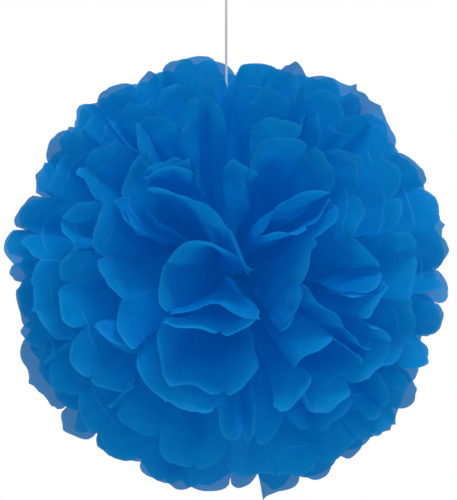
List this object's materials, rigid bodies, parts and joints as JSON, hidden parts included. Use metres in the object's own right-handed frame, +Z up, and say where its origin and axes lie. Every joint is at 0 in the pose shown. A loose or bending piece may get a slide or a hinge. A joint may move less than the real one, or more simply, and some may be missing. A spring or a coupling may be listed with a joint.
{
  "type": "tissue paper pom pom",
  "caption": "Hanging party decoration: a fluffy ball of pleated blue tissue paper, tied at its middle with wire and hung on a white string.",
  "frame": {"origin": "top of the hanging loop, where a hook or pin would carry it; the ball's tie is straight below", "axes": "+Z up along the taut string, -Y the side of the ball that faces the viewer, +X to the viewer's right"},
  "size_m": [0.4061, 0.4019, 0.498],
  "materials": {
    "blue_tissue_paper": "matte",
    "brown_tie_wire": "satin",
    "white_string": "matte"
  },
  "bodies": {
    "root": {"tissue_sheet_front_1": "blue_tissue_paper", "tissue_sheet_front_2": "blue_tissue_paper", "tissue_sheet_front_3": "blue_tissue_paper", "tissue_sheet_front_4": "blue_tissue_paper", "tissue_sheet_front_5": "blue_tissue_paper", "tissue_sheet_back_1": "blue_tissue_paper", "tissue_sheet_back_2": "blue_tissue_paper", "tissue_sheet_back_3": "blue_tissue_paper", "tissue_sheet_back_4": "blue_tissue_paper", "tissue_sheet_back_5": "blue_tissue_paper", "tie_wire": "brown_tie_wire", "string_knot": "white_string", "hanging_string": "white_string", "loop_knot": "white_string", "hanging_loop": "white_string"}
  },
  "joints": []
}
